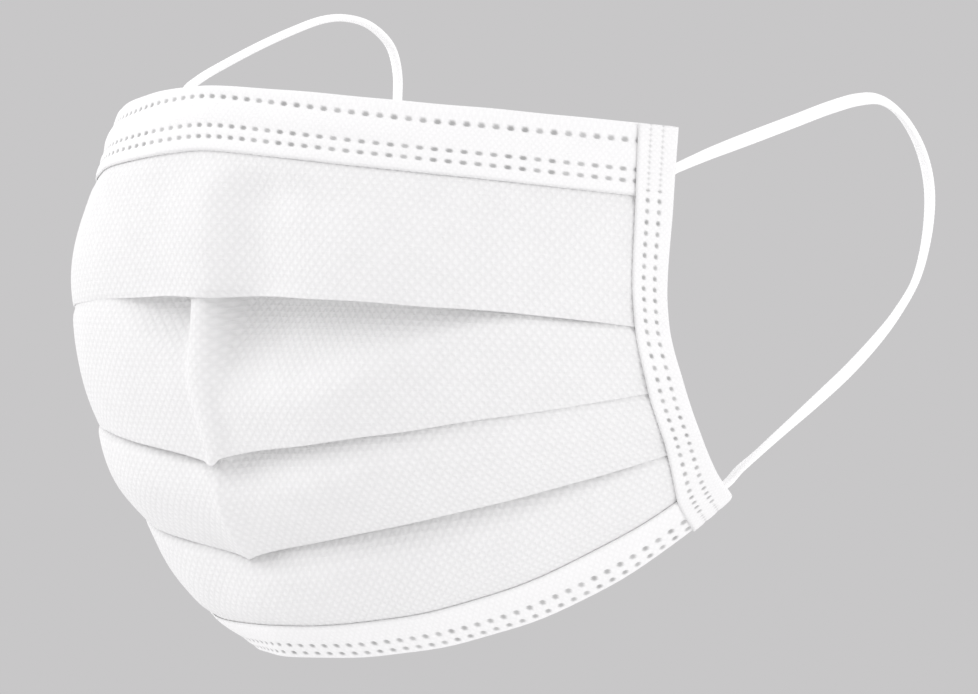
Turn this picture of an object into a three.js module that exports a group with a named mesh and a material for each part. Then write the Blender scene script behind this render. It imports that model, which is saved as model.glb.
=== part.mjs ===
// Pleated surgical face mask, opened out to the shape it has when it is worn.
// A panel with three pleats lies between a folded hem over the nose and one under the chin,
// a folded tape binds each side, and an elastic ear loop is welded inside each tape.
// Millimetres, +Z up. The front faces -Y, the wearer's face lies towards +Y, and right means +X.
// The origin is the middle of the opening that sits on the face.
import * as THREE from "three";

// Cloth: every layer has the same wall, and neighbouring layers keep a small clearance.
const WALL = 1.0;
const CLEARANCE = 0.3;
const LAYER_STEP = WALL + CLEARANCE;

// Lines that cross the mask from side to side, from the nose down to the chin.
// middle is the [y, z] of a line's middle and side the [x, y, z] of its right end.
// bluntness is the exponent of its oval plan, and lift says how late it climbs or falls towards the side.
// rounding is the share of its half over which it bends first, so that 0 leaves a corner in the middle,
// and bulge is how far the cloth below it stands out halfway to the next line.
const CROSS_LINES = [
  { middle: [-69, 50.5], side: [72.8, -12.6, 42.2], bluntness: 1.74, lift: 0.94, rounding: 0.12, bulge: 0 },
  { middle: [-70.6, 38], side: [72.6, -13.8, 28.2], bluntness: 2.2, lift: 0.89, rounding: 0.12, bulge: 0.8 },
  { middle: [-71.2, 9.8], side: [72.8, -15, 3.1], bluntness: 3.06, lift: 1.75, rounding: 0.12, bulge: 0.3 },
  { middle: [-65.8, -22.5], side: [72.8, -10.8, -7.6], bluntness: 2.65, lift: 0.97, rounding: 0, bulge: 2.4 },
  { middle: [-56.8, -41.5], side: [70.3, -2.5, -18.6], bluntness: 2.42, lift: 1.16, rounding: 0, bulge: 1 },
  { middle: [-51.4, -54.6], side: [67, 4.8, -24.4], bluntness: 1.65, lift: 2.09, rounding: 0.06, bulge: 0 },
  { middle: [-46.9, -60.9], side: [61.8, 15.1, -29.3], bluntness: 1.4, lift: 2.33, rounding: 0.06, bulge: 0 },
];
const NOSE_HEM_LINE = 1;
const PLEAT_LINES = [2, 3, 4];
const CHIN_HEM_LINE = 5;
const LAST_LINE = CROSS_LINES.length - 1;

// How far round its oval each line runs before it ends at the side tape.
const WRAP_ANGLE = THREE.MathUtils.degToRad(62);

// Pleats lie deep at the sides, where the tape holds them, and are pulled open in the middle.
const OVERLAP_MIDDLE = 3.0;
const OVERLAP_SIDE = 6.4;
const OVERLAP_SPREAD = 1.5;
const PLEAT_RADIUS = LAYER_STEP / 2;
const PLEAT_LIP = 1.6;

// Depths of the layers behind the outermost one.
const FRONT_LAYER = 0;
const MIDDLE_LAYER = -LAYER_STEP;
const BACK_LAYER = -2 * LAYER_STEP;

// The tape wraps the whole stack, so it lies one layer outside it on both faces.
const TAPE_WIDTH = 8;
const TAPE_FRONT = LAYER_STEP;
const TAPE_BACK = -3 * LAYER_STEP;

// Where the panel and the hems stop inside the tape, as a share of the way from the middle to the side.
const STACK_END = 0.962;
const STATIONS_PER_HALF = 16;

// Spacing of the stations in the middle, where the cloth bends most, against an even spacing.
const MIDDLE_SPACING = 0.75;
const STEPS_PER_TIER = 3;
const BEND_STEPS = 4;
const LEG_STEPS = 2;

// Ear loops: round elastic. Each route starts and ends in a short tab against the back of the tape.
const LOOP_DIAMETER = 2.4;
const LOOP_SIDES = 8;
const LOOP_STEPS = 56;
const LOOP_ROUTES = {
  right: [
    [64.3, -17.9, 32.7],
    [66.4, -12.7, 33.2],
    [68.4, -6.5, 35.3],
    [70.2, 0.5, 38.0],
    [71.4, 10.9, 41.5],
    [72.0, 22.0, 44.8],
    [72.0, 32.6, 47.8],
    [72.0, 41.2, 49.8],
    [72.0, 48.0, 49.6],
    [72.0, 54.2, 46.4],
    [72.0, 59.4, 41.0],
    [72.0, 62.8, 35.0],
    [72.0, 64.0, 28.6],
    [72.0, 62.6, 20.8],
    [72.0, 59.0, 13.2],
    [71.6, 54.2, 6.6],
    [71.0, 48.8, 0.8],
    [70.0, 41.0, -5.4],
    [68.6, 32.8, -11.2],
    [66.4, 23.3, -18.2],
    [63.4, 18.6, -22.4],
    [60.0, 16.4, -25.2],
    [57.4, 13.8, -26.8],
    [56.1, 10.4, -28.0],
    [55.5, 6.4, -29.4],
  ],
  left: [
    [-65.2, -16.5, 26.9],
    [-65.2, -15.0, 32.6],
    [-65.3, -13.0, 38.9],
    [-66.4, -11.6, 45.4],
    [-68.6, -9.4, 51.0],
    [-70.5, -4.8, 55.3],
    [-71.6, 3.2, 58.6],
    [-72.0, 14.4, 62.7],
    [-72.0, 24.4, 67.0],
    [-72.0, 32.6, 69.8],
    [-72.0, 39.4, 70.4],
    [-72.0, 46.0, 68.6],
    [-72.0, 51.2, 64.4],
    [-72.0, 54.2, 59.0],
    [-72.0, 55.2, 52.6],
    [-71.8, 54.2, 43.6],
    [-71.4, 51.4, 33.6],
    [-70.8, 47.2, 23.4],
    [-69.8, 42.0, 13.4],
    [-68.4, 35.8, 3.6],
    [-66.8, 28.8, -5.8],
    [-64.8, 21.2, -14.2],
    [-61.8, 14.6, -20.8],
    [-58.6, 8.0, -24.2],
    [-58.0, 0.4, -25.9],
  ],
};

const PANEL_CLOTH = { color: 0xf2f2f1, roughness: 0.9, metalness: 0 };
const HEM_CLOTH = { color: 0xf8f8f7, roughness: 0.85, metalness: 0 };
const TAPE_CLOTH = { color: 0xf7f7f7, roughness: 0.8, metalness: 0 };
const LOOP_ELASTIC = { color: 0xf5f5f2, roughness: 0.85, metalness: 0 };

const mix = THREE.MathUtils.lerp;

// Half of a line seen from above, from the middle of the mask to its side.
class PlanCurve extends THREE.Curve {
  constructor(line) {
    super();
    this.line = line;
  }

  getPoint(share, target = new THREE.Vector3()) {
    const [front] = this.line.middle;
    const [halfWidth, sideDepth] = this.line.side;
    const power = 2 / this.line.bluntness;
    const angle = share * WRAP_ANGLE;
    const outward = (Math.sin(angle) / Math.sin(WRAP_ANGLE)) ** power;
    const backward = (1 - Math.cos(angle) ** power) / (1 - Math.cos(WRAP_ANGLE) ** power);
    return target.set(halfWidth * outward, mix(front, sideDepth, backward), 0);
  }
}

const PLAN_CURVES = CROSS_LINES.map((line) => new PlanCurve(line));

// A point of a crossing line. across runs from -1 at the left side to 1 at the right side.
function linePoint(row, across) {
  const line = CROSS_LINES[row];
  const reach = Math.min(Math.abs(across), 1);
  const point = PLAN_CURVES[row].getPointAt(reach);
  const rounded = Math.hypot(reach, line.rounding) - line.rounding;
  const climb = rounded / (Math.hypot(1, line.rounding) - line.rounding);
  point.x *= Math.sign(across);
  point.z = mix(line.middle[1], line.side[2], climb ** line.lift);
  return point;
}

// The step down the cloth to a crossing line from the one above it.
function stepTo(row, across) {
  return linePoint(row, across).sub(linePoint(row - 1, across));
}

// How the cloth heads down across a crossing line. The nearer neighbouring line counts for more.
function lineHeading(row, across) {
  const arriving = stepTo(Math.max(row, 1), across);
  const leaving = stepTo(Math.min(row + 1, LAST_LINE), across);
  const before = arriving.length();
  const after = leaving.length();
  return arriving
    .multiplyScalar(after / before)
    .addScaledVector(leaving, before / after)
    .divideScalar(before + after);
}

// Step across the mask over which the surface's slope is measured.
const PROBE = 0.01;

// The direction that faces away from the wearer at a point of a crossing line.
function lineNormal(row, across) {
  const leftward = linePoint(row, Math.max(across - PROBE, -1));
  const rightward = linePoint(row, Math.min(across + PROBE, 1));
  const above = linePoint(Math.max(row - 1, 0), across);
  const below = linePoint(Math.min(row + 1, LAST_LINE), across);
  return below.sub(above).cross(rightward.sub(leftward)).normalize();
}

// A point of the mask's outer surface, which runs smoothly down through the lines, moved out by offset.
// down counts crossing lines: 2.5 is halfway between lines 2 and 3.
function surfacePoint(across, down, offset) {
  const row = Math.min(Math.max(Math.floor(down), 0), LAST_LINE - 1);
  const share = down - row;
  const normal = lineNormal(row, across).lerp(lineNormal(row + 1, across), share).normalize();
  const bulge = CROSS_LINES[row].bulge * Math.sin(Math.PI * share) * (1 - across * across);
  const length = stepTo(row + 1, across).length();
  return linePoint(row, across)
    .lerp(linePoint(row + 1, across), share * share * (3 - 2 * share))
    .addScaledVector(lineHeading(row, across), length * share * (1 - share) ** 2)
    .addScaledVector(lineHeading(row + 1, across), -length * share ** 2 * (1 - share))
    .addScaledVector(normal, offset + bulge);
}

// How far below the nose edge each crossing line lies, measured down the cloth.
function lineRuns(across) {
  const runs = [0];
  for (let row = 0; row < LAST_LINE; row += 1) {
    runs.push(runs[row] + linePoint(row, across).distanceTo(linePoint(row + 1, across)));
  }
  return runs;
}

// Turns a distance down the cloth into a count of crossing lines.
function downAt(runs, run) {
  let row = 0;
  while (row < LAST_LINE - 1 && run > runs[row + 1]) {
    row += 1;
  }
  return row + (run - runs[row]) / (runs[row + 1] - runs[row]);
}

// Sharp turns of a folded path keep their corner within this share of the wall's half.
const SHARPEST_MITRE = 0.5;

// Gives a folded path the thickness of the cloth. The outline returned runs counter-clockwise.
function thicken(path) {
  const near = [];
  const far = [];
  path.forEach((point, index) => {
    const before = path[Math.max(index - 1, 0)];
    const after = path[Math.min(index + 1, path.length - 1)];
    const arriving = point.clone().sub(before).normalize();
    const leaving = after.clone().sub(point).normalize();
    const heading = arriving.clone().add(leaving).normalize();
    const oneLeg = arriving.lengthSq() > 0 ? arriving : leaving;
    const half = WALL / 2 / Math.max(heading.dot(oneLeg), SHARPEST_MITRE);
    const side = new THREE.Vector2(heading.y, -heading.x).multiplyScalar(half);
    near.push(point.clone().add(side));
    far.push(point.clone().sub(side));
  });
  return [...near, ...far.reverse()];
}

// A strip folded in two: along one layer to the crest, round the bend and back along the other.
function foldedStrip(edge, crest, outerLayer, innerLayer) {
  const radius = (outerLayer - innerLayer) / 2;
  const heading = Math.sign(crest - edge);
  const bend = crest - heading * (radius + WALL / 2);
  const path = [];
  for (let step = 0; step < LEG_STEPS; step += 1) {
    path.push(new THREE.Vector2(mix(edge, bend, step / LEG_STEPS), outerLayer));
  }
  for (let step = 0; step <= BEND_STEPS; step += 1) {
    const angle = (Math.PI * step) / BEND_STEPS;
    const reach = bend + heading * radius * Math.sin(angle);
    path.push(new THREE.Vector2(reach, innerLayer + radius * (1 + Math.cos(angle))));
  }
  for (let step = LEG_STEPS - 1; step >= 0; step -= 1) {
    path.push(new THREE.Vector2(mix(edge, bend, step / LEG_STEPS), innerLayer));
  }
  return path;
}

// The panel's path from the nose hem to the chin hem: run down the cloth, and depth behind the surface.
function panelPath(across) {
  const runs = lineRuns(across);
  const hemBend = LAYER_STEP + WALL / 2;
  const overlap = mix(OVERLAP_MIDDLE, OVERLAP_SIDE, Math.abs(across) ** OVERLAP_SPREAD);
  const path = [];
  const add = (run, depth) => path.push(new THREE.Vector2(run, depth));
  // A stretch of cloth up to its end, which is left to what follows.
  const slope = (steps, from, to, fromDepth, toDepth) => {
    for (let step = 0; step < steps; step += 1) {
      add(mix(from, to, step / steps), mix(fromDepth, toDepth, step / steps));
    }
  };

  slope(LEG_STEPS, hemBend, runs[NOSE_HEM_LINE], MIDDLE_LAYER, MIDDLE_LAYER);
  add(runs[NOSE_HEM_LINE], MIDDLE_LAYER);
  for (const line of PLEAT_LINES) {
    const edge = runs[line];
    const root = edge - overlap;
    const hidden = line === PLEAT_LINES[0] ? MIDDLE_LAYER : BACK_LAYER;
    slope(STEPS_PER_TIER, runs[line - 1] + PLEAT_LIP, root, hidden, FRONT_LAYER);
    add(root, FRONT_LAYER);
    add(edge - PLEAT_RADIUS, FRONT_LAYER);
    add(edge, FRONT_LAYER - PLEAT_RADIUS);
    add(edge - PLEAT_RADIUS, MIDDLE_LAYER);
    add(root + PLEAT_RADIUS, MIDDLE_LAYER);
    add(root, MIDDLE_LAYER - PLEAT_RADIUS);
    add(root + PLEAT_RADIUS, BACK_LAYER);
  }
  const [lastPleat, chinHem, chinEdge] = runs.slice(CHIN_HEM_LINE - 1);
  slope(STEPS_PER_TIER, lastPleat + PLEAT_LIP, chinHem, BACK_LAYER, MIDDLE_LAYER);
  slope(LEG_STEPS, chinHem, chinEdge - hemBend, MIDDLE_LAYER, MIDDLE_LAYER);
  add(chinEdge - hemBend, MIDDLE_LAYER);
  return path;
}

function noseHemPath(across) {
  const runs = lineRuns(across);
  return foldedStrip(runs[NOSE_HEM_LINE], 0, FRONT_LAYER, BACK_LAYER);
}

function chinHemPath(across) {
  const runs = lineRuns(across);
  return foldedStrip(runs[CHIN_HEM_LINE], runs[LAST_LINE], FRONT_LAYER, BACK_LAYER);
}

// Joins a row of rings into one closed solid. Each ring has its flat outline and its points in space,
// and the outlines run counter-clockwise when looked at along the loft.
function loft(rings) {
  const count = rings[0].points.length;
  const positions = rings.flatMap(({ points }) => points.flatMap((point) => point.toArray()));
  const indices = [];
  for (let ring = 0; ring < rings.length - 1; ring += 1) {
    for (let corner = 0; corner < count; corner += 1) {
      const next = (corner + 1) % count;
      const here = ring * count;
      const there = here + count;
      indices.push(here + corner, there + next, here + next);
      indices.push(here + corner, there + corner, there + next);
    }
  }
  const last = (rings.length - 1) * count;
  for (const [a, b, c] of THREE.ShapeUtils.triangulateShape(rings[0].outline, [])) {
    indices.push(a, b, c);
  }
  for (const [a, b, c] of THREE.ShapeUtils.triangulateShape(rings.at(-1).outline, [])) {
    indices.push(last + a, last + c, last + b);
  }
  const geometry = new THREE.BufferGeometry();
  geometry.setAttribute("position", new THREE.Float32BufferAttribute(positions, 3));
  geometry.setIndex(indices);
  geometry.computeVertexNormals();
  return geometry;
}

// Cloth that runs from one side of the mask to the other, with the same folds at every station.
function crossingCloth(pathAt) {
  const rings = [];
  for (let station = -STATIONS_PER_HALF; station <= STATIONS_PER_HALF; station += 1) {
    const even = station / STATIONS_PER_HALF;
    const across = STACK_END * even * mix(MIDDLE_SPACING, 1, Math.abs(even));
    const runs = lineRuns(across);
    const outline = thicken(pathAt(across));
    const points = outline.map(({ x, y }) => surfacePoint(across, downAt(runs, x), y));
    rings.push({ outline, points });
  }
  return loft(rings);
}

// The tape down one side of the mask, side being 1 on the right and -1 on the left.
function sideTape(side) {
  const outline = thicken(foldedStrip(TAPE_WIDTH, 0, TAPE_FRONT, TAPE_BACK));
  const rings = [];
  for (let step = 0; step <= LAST_LINE * STEPS_PER_TIER; step += 1) {
    const down = step / STEPS_PER_TIER;
    const row = Math.min(Math.floor(down), LAST_LINE - 1);
    const above = PLAN_CURVES[row].getLength();
    const below = PLAN_CURVES[row + 1].getLength();
    const halfLength = mix(above, below, down - row);
    const points = outline.map(({ x, y }) => surfacePoint(side * (1 - x / halfLength), down, y));
    rings.push({ outline, points });
  }
  return loft(side > 0 ? rings : rings.reverse());
}

// A round elastic cord along its route.
function earLoop(route) {
  const section = new THREE.Shape();
  for (let corner = 0; corner < LOOP_SIDES; corner += 1) {
    const angle = (2 * Math.PI * corner) / LOOP_SIDES;
    const x = (LOOP_DIAMETER / 2) * Math.cos(angle);
    const y = (LOOP_DIAMETER / 2) * Math.sin(angle);
    if (corner === 0) {
      section.moveTo(x, y);
    } else {
      section.lineTo(x, y);
    }
  }
  const path = new THREE.CatmullRomCurve3(route.map((point) => new THREE.Vector3(...point)));
  return new THREE.ExtrudeGeometry(section, {
    extrudePath: path,
    steps: LOOP_STEPS,
    bevelEnabled: false,
  });
}

const mask = new THREE.Group();

function addPiece(name, geometry, finish) {
  const mesh = new THREE.Mesh(geometry, new THREE.MeshStandardMaterial(finish));
  mesh.name = name;
  mask.add(mesh);
}

addPiece("pleated_panel", crossingCloth(panelPath), PANEL_CLOTH);
addPiece("nose_hem", crossingCloth(noseHemPath), HEM_CLOTH);
addPiece("chin_hem", crossingCloth(chinHemPath), HEM_CLOTH);
for (const [name, side] of [["right", 1], ["left", -1]]) {
  addPiece(`side_binding_${name}`, sideTape(side), TAPE_CLOTH);
  addPiece(`ear_loop_${name}`, earLoop(LOOP_ROUTES[name]), LOOP_ELASTIC);
}

export default mask;
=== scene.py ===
import math

import bpy
import numpy as np
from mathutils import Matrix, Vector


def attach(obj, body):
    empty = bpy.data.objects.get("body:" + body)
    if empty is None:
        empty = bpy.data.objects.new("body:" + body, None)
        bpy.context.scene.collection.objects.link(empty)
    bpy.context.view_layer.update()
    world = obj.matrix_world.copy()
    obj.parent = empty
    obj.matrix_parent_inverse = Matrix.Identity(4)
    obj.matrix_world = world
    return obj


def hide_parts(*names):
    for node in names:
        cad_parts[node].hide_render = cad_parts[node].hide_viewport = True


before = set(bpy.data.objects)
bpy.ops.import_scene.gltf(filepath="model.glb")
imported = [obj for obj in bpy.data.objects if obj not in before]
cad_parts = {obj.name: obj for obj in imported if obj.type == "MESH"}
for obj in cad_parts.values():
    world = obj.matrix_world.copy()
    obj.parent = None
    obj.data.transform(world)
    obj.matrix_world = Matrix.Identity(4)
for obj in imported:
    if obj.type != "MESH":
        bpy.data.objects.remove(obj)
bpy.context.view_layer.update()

# Pleated panel: one oblong blank of white nonwoven fleece, three plies thick and embossed all over
# with fine diamonds. It is laid in three pleats that open downwards, pulled open over nose and
# mouth, and its edges are welded into the hems and the side tapes.

# Lines that cross the mask from side to side, nose edge first: the middle's depth and height, the
# right end, the bluntness of the oval plan, how late the line climbs, the share of its half over
# which it bends first, and how far the cloth below it swells.
CROSS_LINES = [
    ((-0.0690, 0.0505), (0.0728, -0.0126, 0.0422), 1.74, 0.94, 0.12, 0.0000),
    ((-0.0706, 0.0380), (0.0726, -0.0138, 0.0282), 2.20, 0.89, 0.12, 0.0008),
    ((-0.0712, 0.0098), (0.0728, -0.0150, 0.0031), 3.06, 1.75, 0.12, 0.0003),
    ((-0.0658, -0.0225), (0.0728, -0.0108, -0.0076), 2.65, 0.97, 0.00, 0.0024),
    ((-0.0568, -0.0415), (0.0703, -0.0025, -0.0186), 2.42, 1.16, 0.00, 0.0010),
    ((-0.0514, -0.0546), (0.0670, 0.0048, -0.0244), 1.65, 2.09, 0.06, 0.0000),
    ((-0.0469, -0.0609), (0.0618, 0.0151, -0.0293), 1.40, 2.33, 0.06, 0.0000),
]
NOSE_HEM_LINE, CHIN_HEM_LINE, LAST_LINE = 1, 5, 6
PLEAT_LINES = (2, 3, 4)
LAST_TIER = len(PLEAT_LINES)
WRAP_ANGLE = math.radians(62)
PLAN_STEPS = 1600
SLOPE_PROBE = 0.01
# The left cheek stands out a little further than the right one: by how much at each crossing line,
# how far left of the middle it is full, and the power by which it dies out towards the side.
LEFT_FULLNESS = (0.0014, 0.0012, 0.0000, 0.0010, 0.0019, 0.0013, 0.0000)
FULLNESS_START, FULLNESS_FADE = 0.3, 4


def plan_of(line):
    """Half a line seen from above: distance round the oval, and x and y, from middle to side."""
    (front, _), (half_width, side_depth, _), bluntness, *_ = line
    angle = np.linspace(0, WRAP_ANGLE, PLAN_STEPS)
    power = 2 / bluntness
    x = half_width * (np.sin(angle) / math.sin(WRAP_ANGLE)) ** power
    backward = (1 - np.cos(angle) ** power) / (1 - math.cos(WRAP_ANGLE) ** power)
    y = front + (side_depth - front) * backward
    reach = np.concatenate([[0], np.cumsum(np.hypot(np.diff(x), np.diff(y)))])
    return reach, x, y


PLANS = [plan_of(line) for line in CROSS_LINES]
HALF_LENGTHS = [plan[0][-1] for plan in PLANS]


def ease(share):
    """Runs smoothly from 0 to 1 and stays there."""
    share = np.clip(share, 0, 1)
    return share * share * (3 - 2 * share)


def line_points(row, across):
    """Points of a crossing line, where across runs from -1 at the left side to 1 at the right."""
    reach, x, y = PLANS[row]
    (_, level), (_, _, side_level), _, lift, rounding, _ = CROSS_LINES[row]
    share = np.minimum(np.abs(across), 1)
    sideways = np.sign(across) * np.interp(share * reach[-1], reach, x)
    climb = (np.hypot(share, rounding) - rounding) / (math.hypot(1, rounding) - rounding)
    height = level + (side_level - level) * climb**lift
    return np.stack([sideways, np.interp(share * reach[-1], reach, y), height], -1)


def length_of(vectors):
    return np.linalg.norm(vectors, axis=-1, keepdims=True)


def unit(vectors):
    return vectors / length_of(vectors)


def step_to(row, across):
    """The step down the cloth to a crossing line from the one above it."""
    return line_points(row, across) - line_points(row - 1, across)


def line_heading(row, across):
    """How the cloth heads down across a line. The nearer neighbouring line counts for more."""
    arriving = step_to(max(row, 1), across)
    leaving = step_to(min(row + 1, LAST_LINE), across)
    before, after = length_of(arriving), length_of(leaving)
    return (arriving * after / before + leaving * before / after) / (before + after)


def line_normals(row, across):
    """Directions away from the wearer along a crossing line."""
    leftward = line_points(row, np.maximum(across - SLOPE_PROBE, -1))
    rightward = line_points(row, np.minimum(across + SLOPE_PROBE, 1))
    above = line_points(max(row - 1, 0), across)
    below = line_points(min(row + 1, LAST_LINE), across)
    return unit(np.cross(below - above, rightward - leftward))


def fullness(across, down):
    """How far the left cheek swells beyond the shape of the right one."""
    lines = np.arange(LAST_LINE + 1)
    grown = ease(-across / FULLNESS_START) * (1 - across**FULLNESS_FADE)
    return np.interp(down, lines, LEFT_FULLNESS) * grown


def surface(across, down, out):
    """Points of the mask's face, smooth down through the lines, moved outwards by out.

    down counts crossing lines, so that 2.5 is halfway between lines 2 and 3.
    """
    across, down, out = np.broadcast_arrays(across, down, out + fullness(across, down))
    points = np.empty(across.shape + (3,))
    tier = np.clip(np.floor(down), 0, LAST_LINE - 1)
    for row in range(LAST_LINE):
        here = tier == row
        side = across[here]
        share = (down[here] - row)[:, None]
        normal = line_normals(row, side) * (1 - share) + line_normals(row + 1, side) * share
        swell = CROSS_LINES[row][-1] * np.sin(math.pi * share) * (1 - side[:, None] ** 2)
        length = length_of(step_to(row + 1, side))
        passed = ease(share)
        base = line_points(row, side) * (1 - passed) + line_points(row + 1, side) * passed
        base += line_heading(row, side) * length * share * (1 - share) ** 2
        base -= line_heading(row + 1, side) * length * share**2 * (1 - share)
        points[here] = base + unit(normal) * (out[here][:, None] + swell)
    return points


def line_runs(across):
    """How far below the nose edge each crossing line lies, measured down the cloth."""
    lines = np.stack([line_points(row, across) for row in range(LAST_LINE + 1)])
    steps = np.linalg.norm(np.diff(lines, axis=0), axis=-1)
    return np.concatenate([np.zeros((1,) + across.shape), np.cumsum(steps, axis=0)])


def down_at(runs, run):
    """Turns distances down the cloth into counts of crossing lines."""
    down = (run - runs[0]) / (runs[1] - runs[0])
    for row in range(1, LAST_LINE):
        share = (run - runs[row]) / (runs[row + 1] - runs[row])
        down = np.where(run > runs[row], row + share, down)
    return down


# How far across the cloth reaches into the side tapes, its thickness, and the places across that
# carry points, which crowd towards the middle.
STACK_END = 0.994
PANEL_THICKNESS = 0.00025
PANEL_STATIONS = 261
MIDDLE_CROWDING = 0.55
# The panel lies a ply deep under the hems, stops short of their crests, and comes out from under
# them over a share of the tier beside each.
HEM_PLY = 0.00045
HEM_RISE, CHIN_RISE = 0.12, 0.20
HEM_EDGE = 0.0012
# How far each pleat overlaps the cloth below, the radius of its folds, and the steps in each part.
OVERLAP_MIDDLE = 0.0030
OVERLAP_SIDE = 0.0064
OVERLAP_SPREAD = 1.5
FOLD_RADIUS = 0.00014
FOLD_STEPS = 6
LEG_STEPS = 3
TIER_STEPS = 24
HEM_LEG_STEPS = 5
# Each pleat's height of opening, the places across where it starts to open, stands open, starts to
# close and is shut, and the share of the tier below over which that tier comes out to the surface.
PLEATS = [
    (0.0085, (-0.32, 0.14, 0.22, 0.74), 0.78),
    (0.0016, (-0.05, 0.05, 0.15, 0.75), 0.45),
    (0.0022, (-0.05, 0.05, 0.35, 0.98), 0.36),
]
RISE_SHUT = 0.12
# How much each pleat gapes all along its left and right halves, how far the crease holds it shut,
# and how much higher its edge hangs just right of the crease.
PLEAT_GAPS = ((0.0, 0.0006), (0.0011, 0.0001), (0.0015, 0.0006))
PLEAT_HOLDS = (0.92, 0.0, 0.0)
PLEAT_NOTCHES = (0.0, 0.0012, 0.0003)
LEFT_GAP_ENDS, RIGHT_GAP_ENDS, GAP_FADES = (-0.70, 0.0), (0.0, 0.94), (0.16, 0.05)
HOLD_WIDTHS = (0.0050, 0.0034)
NOTCH_START, NOTCH_LENGTH = 0.0024, 0.0120
EDGE_WAVER, WAVER_LENGTHS, WAVER_SHIFT = 0.0001, (0.041, 0.023), 2.0
# Centre crease left by folding the mask in half: its soft swell, narrow rib and sharp fold on each
# tier, and the widths of these to the left and right. The swell dips on its right, and the cloth is
# hollow on both sides of swell and fold.
CREASE_SWELL = (0.0032, 0.0003, 0.0, 0.0)
CREASE_RIB = (0.0, 0.0012, 0.0, 0.0)
CREASE_FOLD = (0.0, 0.0012, 0.0034, 0.0003)
SWELL_WIDTHS = (0.0150, 0.0110)
RIB_WIDTHS = (0.0030, 0.0025)
FOLD_WIDTHS = (0.0150, 0.0070)
SWELL_DIP, SWELL_SINK, SWELL_HOLLOW = 2, 0.7, 0.028
FOLD_HOLLOW = 0.024
FLAT_TOP = 4
CREASE_FADE = 0.0080
# Where the crease lies right of the middle: a count of crossing lines, and the distance there.
CREASE_WANDER = [
    (1.0, 0.0055),
    (1.95, 0.0030),
    (2.0, 0.0006),
    (2.55, -0.0002),
    (2.95, 0.0014),
    (3.05, 0.0000),
]
# Waves of unevenness all over the cloth: their depth, how they die out towards the sides, and how
# many there are, with headings, lengths and shifts left to chance.
SLACK_DEPTH, SLACK_FADE = 0.00012, 6
SLACK_WAVES, SLACK_SEED = 14, 11
SLACK_SHORTEST, SLACK_LONGEST = 0.014, 0.050
PANEL_HALF = sum(HALF_LENGTHS[row] for row in PLEAT_LINES) / len(PLEAT_LINES)
chance = np.random.default_rng(SLACK_SEED)
slack_waves = [
    (
        chance.uniform(0, math.pi),
        chance.uniform(SLACK_SHORTEST, SLACK_LONGEST),
        chance.uniform(0, 2 * math.pi),
    )
    for _ in range(SLACK_WAVES)
]


def slack(across, run):
    """Gentle unevenness of cloth that nothing pulls quite flat, the same for all that lies on it."""
    total = np.zeros(np.broadcast(across, run).shape)
    for heading, length, phase in slack_waves:
        travel = across * PANEL_HALF * math.cos(heading) + run * math.sin(heading)
        total += np.sin(2 * math.pi * travel / length + phase)
    return SLACK_DEPTH * total / math.sqrt(SLACK_WAVES / 2) * (1 - np.abs(across) ** SLACK_FADE)


def waver(along, phase):
    """A fold line's small wander about its true place."""
    turns = 2 * math.pi * along
    return EDGE_WAVER * sum(np.sin(turns / length + phase) for length in WAVER_LENGTHS)


def hump(place, power=2):
    """1 at 0 and dying away on both sides. A higher power gives a flatter top."""
    return np.exp(-(place**power))


def sided(along, widths):
    """The left width of a pair to the left of the middle, and the right one to the right."""
    return np.where(along < 0, *widths)


def crease_place(down):
    """How far right of the middle the centre crease lies at a count of crossing lines."""
    return np.interp(down, *zip(*CREASE_WANDER))


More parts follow.
